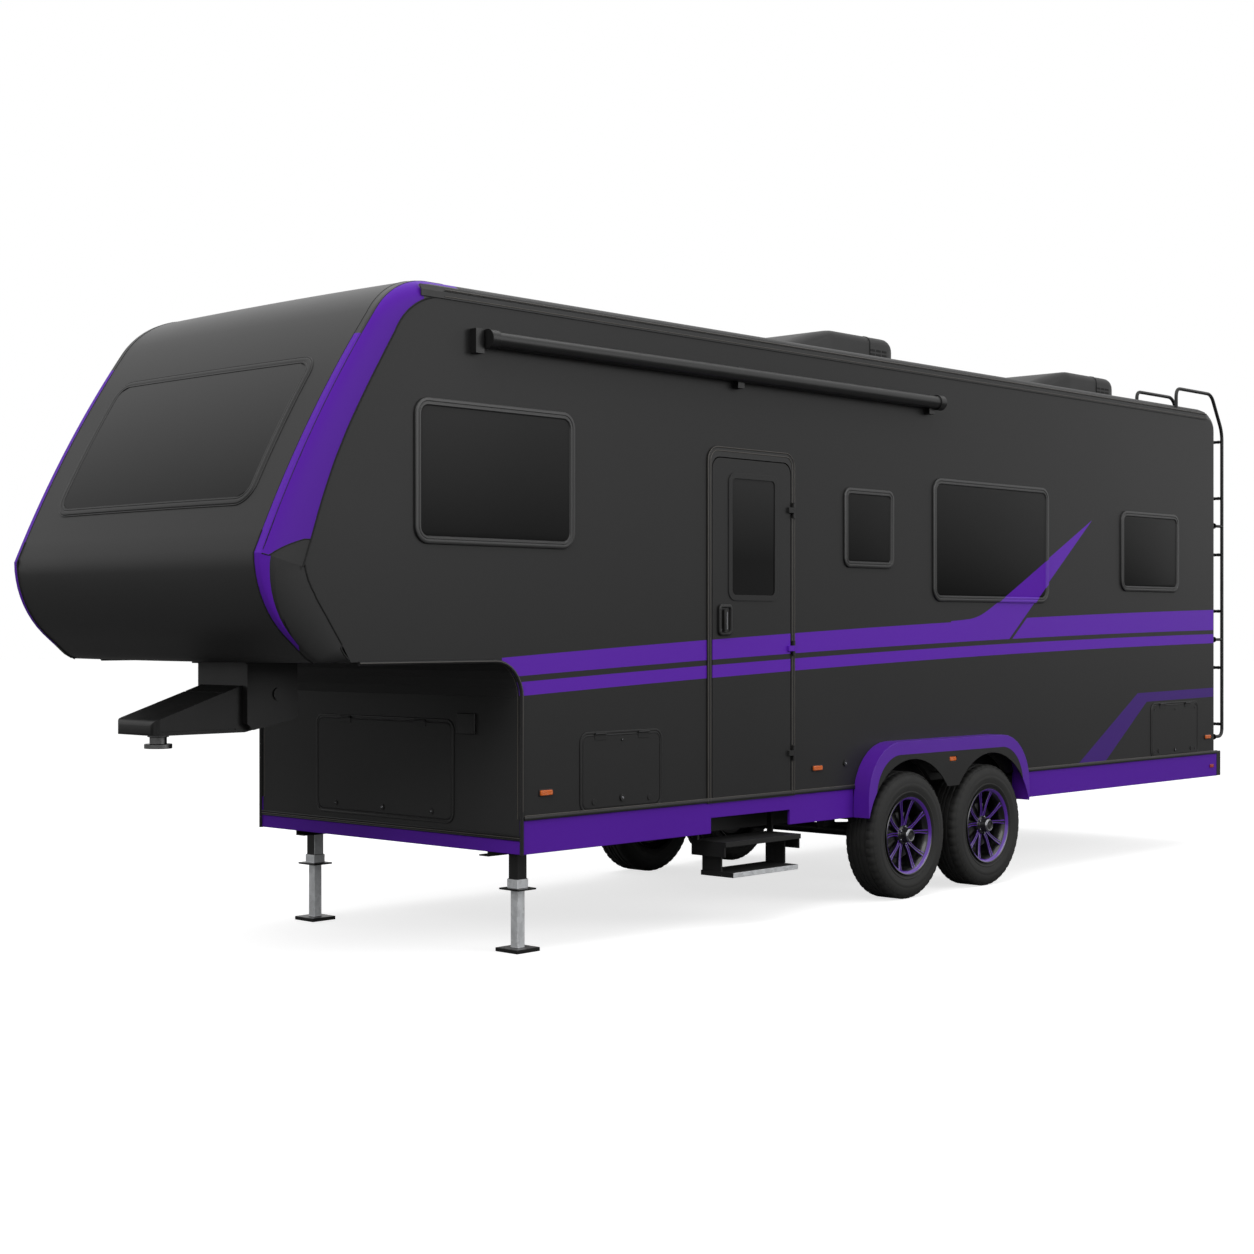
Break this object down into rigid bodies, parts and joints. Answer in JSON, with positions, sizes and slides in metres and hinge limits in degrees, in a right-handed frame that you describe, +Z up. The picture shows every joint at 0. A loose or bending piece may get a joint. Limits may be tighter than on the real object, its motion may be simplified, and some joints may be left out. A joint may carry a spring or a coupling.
{
  "type": "fifth wheel trailer",
  "caption": "Touring fifth wheel trailer with a raised moulded nose over its pin box, hinged entry door and hatches, spoked wheels in shared arches and landing legs.",
  "frame": {"origin": "On the ground under the middle of the trailer's overall length and width.", "axes": "X points forward to the coupling, Y to the trailer's left, Z up."},
  "size_m": [9.884, 2.55, 3.9],
  "materials": {
    "body_grey": "satin charcoal gelcoat",
    "roof_panel": "satin charcoal",
    "purple": "gloss purple",
    "underbody": "matt black",
    "chassis_paint": "satin black",
    "black_paint": "satin black",
    "kingpin_steel": "dark greased steel",
    "galvanised": "galvanised and painted steel",
    "black_trim": "satin black",
    "step_paint": "satin black with bright edge",
    "dark_glass": "dark tinted, glossy",
    "awning_case": "satin black",
    "cooler_shell": "textured black",
    "ladder_paint": "satin black",
    "amber_lens": "glossy amber",
    "red_lens": "glossy red",
    "tyre": "black rubber",
    "wheel_paint": "gloss black with purple edges"
  },
  "bodies": {
    "root": {"side_wall_left": "body_grey", "side_wall_right": "body_grey", "rear_wall": "body_grey", "roof": "roof_panel", "nose_cap": "body_grey", "nose_corners": "purple", "nose_floor": "body_grey", "front_bulkhead": "body_grey", "floor": "underbody", "eaves_trims": "black_trim", "skirts": "purple", "wheel_arches": "purple", "wheel_boxes": "underbody", "chassis": "chassis_paint", "suspension": "chassis_paint", "axles": "chassis_paint", "pin_box": "black_paint", "kingpin": "kingpin_steel", "landing_legs": "galvanised", "window_frames": "black_trim", "window_glass": "dark_glass", "door_frame": "black_trim", "entry_step": "step_paint", "hatch_frames": "black_trim", "awning": "awning_case", "air_conditioners": "cooler_shell", "ladder": "ladder_paint", "side_lamps": "amber_lens", "tail_lamps": "red_lens", "rear_bumper": "purple", "utility_box": "black_trim"},
    "entry_door": {"entry_door": "body_grey", "door_glass": "dark_glass", "door_handle": "black_trim"},
    "front_hatch": {"front_hatch": "body_grey"},
    "baggage_door_left": {"baggage_door_left": "body_grey"},
    "baggage_door_right": {"baggage_door_right": "body_grey"},
    "rear_hatch_left": {"rear_hatch_left": "body_grey"},
    "rear_hatch_right": {"rear_hatch_right": "body_grey"},
    "wheel_front_left": {"tyre_front_left": "tyre", "wheel_front_left": "wheel_paint"},
    "wheel_front_right": {"tyre_front_right": "tyre", "wheel_front_right": "wheel_paint"},
    "wheel_rear_left": {"tyre_rear_left": "tyre", "wheel_rear_left": "wheel_paint"},
    "wheel_rear_right": {"tyre_rear_right": "tyre", "wheel_rear_right": "wheel_paint"}
  },
  "joints": [
    {"name": "spin_front_left", "type": "hinge", "parent": "root", "child": "wheel_front_left", "pos_m": [-0.2455, 1.134, 0.421], "axis": [0, 1, 0], "continuous": true},
    {"name": "spin_front_right", "type": "hinge", "parent": "root", "child": "wheel_front_right", "pos_m": [-0.2455, -1.134, 0.421], "axis": [0, 1, 0], "continuous": true},
    {"name": "spin_rear_left", "type": "hinge", "parent": "root", "child": "wheel_rear_left", "pos_m": [-1.1905, 1.134, 0.421], "axis": [0, 1, 0], "continuous": true},
    {"name": "spin_rear_right", "type": "hinge", "parent": "root", "child": "wheel_rear_right", "pos_m": [-1.1905, -1.134, 0.421], "axis": [0, 1, 0], "continuous": true},
    {"name": "entry_door_hinge", "type": "hinge", "parent": "root", "child": "entry_door", "pos_m": [0.888, 1.168, 1.8], "axis": [0, 0, 1], "range_deg": [0, 100]},
    {"name": "front_hatch_hinge", "type": "hinge", "parent": "root", "child": "front_hatch", "pos_m": [3.2303, 0, 1.271], "axis": [0, -1, 0], "range_deg": [0, 90]},
    {"name": "baggage_hinge_left", "type": "hinge", "parent": "root", "child": "baggage_door_left", "pos_m": [2.437, 1.1583, 1.199], "axis": [1, 0, 0], "range_deg": [0, 90]},
    {"name": "baggage_hinge_right", "type": "hinge", "parent": "root", "child": "baggage_door_right", "pos_m": [2.437, -1.1583, 1.199], "axis": [-1, 0, 0], "range_deg": [0, 90]},
    {"name": "rear_hatch_hinge_left", "type": "hinge", "parent": "root", "child": "rear_hatch_left", "pos_m": [-4.056, 1.1583, 1.185], "axis": [1, 0, 0], "range_deg": [0, 90]},
    {"name": "rear_hatch_hinge_right", "type": "hinge", "parent": "root", "child": "rear_hatch_right", "pos_m": [-4.056, -1.1583, 1.185], "axis": [-1, 0, 0], "range_deg": [0, 90]}
  ]
}
